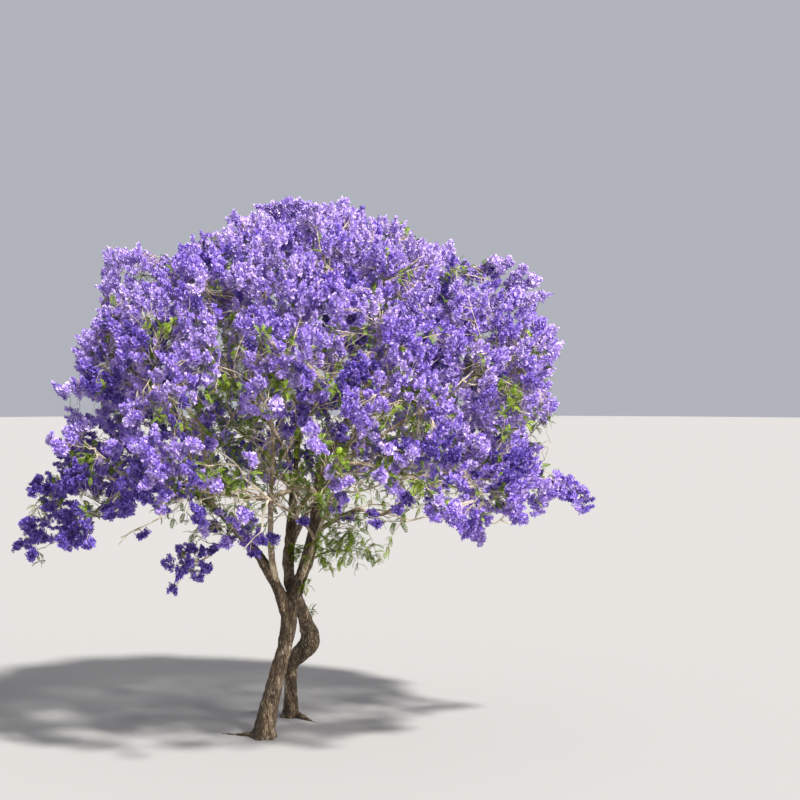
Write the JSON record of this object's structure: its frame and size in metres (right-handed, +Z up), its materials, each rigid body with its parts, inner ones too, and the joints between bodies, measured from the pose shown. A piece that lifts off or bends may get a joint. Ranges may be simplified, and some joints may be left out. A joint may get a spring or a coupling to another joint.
{
  "type": "jacaranda tree in bloom",
  "caption": "Wide domed tree in lilac blossom on leaning, crossing stems, with bare grey-brown boughs showing under the crown and a little feathery green leaf.",
  "frame": {"origin": "on the ground, in the flat cut under the main stem", "axes": "+Z up; +X to the right of the side from which the two stems are seen to cross; +Y away from that side"},
  "size_m": [10.3315, 9.1402, 9.5567],
  "materials": {
    "bark": "rough, furrowed",
    "blossom": "soft petals",
    "leaf": "soft leaves"
  },
  "bodies": {
    "root": {"blossom_top_1": "blossom", "blossom_upper_1": "blossom", "blossom_upper_2": "blossom", "blossom_upper_3": "blossom", "blossom_upper_4": "blossom", "blossom_upper_5": "blossom", "blossom_upper_6": "blossom", "blossom_middle_1": "blossom", "blossom_middle_2": "blossom", "blossom_middle_3": "blossom", "blossom_middle_4": "blossom", "blossom_middle_5": "blossom", "blossom_middle_6": "blossom", "blossom_middle_7": "blossom", "blossom_middle_8": "blossom", "blossom_middle_9": "blossom", "blossom_lower_1": "blossom", "blossom_lower_2": "blossom", "blossom_lower_3": "blossom", "blossom_lower_4": "blossom", "blossom_lower_5": "blossom", "blossom_lower_6": "blossom", "blossom_lower_7": "blossom", "blossom_lower_8": "blossom", "blossom_lower_9": "blossom", "blossom_lower_10": "blossom", "blossom_inner_left": "blossom", "blossom_hanging": "blossom", "leaves_inner_right": "leaf", "trunk": "bark", "rear_stem": "bark", "leader": "bark", "left_bough": "bark", "rear_leader": "bark", "arch_bough": "bark", "low_right_bough": "bark", "bough_inner_left": "bark", "bough_hanging": "bark", "bough_inner_right": "bark", "bough_lower_9": "bark", "bough_lower_8": "bark", "bough_lower_1": "bark", "bough_middle_8": "bark", "bough_lower_2": "bark", "bough_middle_7": "bark", "bough_middle_9": "bark", "bough_lower_3": "bark", "bough_middle_6": "bark", "bough_lower_4": "bark", "bough_lower_5": "bark", "bough_middle_1": "bark", "bough_upper_6": "bark", "bough_middle_5": "bark", "bough_middle_2": "bark", "bough_upper_5": "bark", "bough_middle_4": "bark", "bough_middle_3": "bark", "bough_upper_2": "bark", "bough_upper_3": "bark", "bough_upper_4": "bark"}
  },
  "joints": []
}
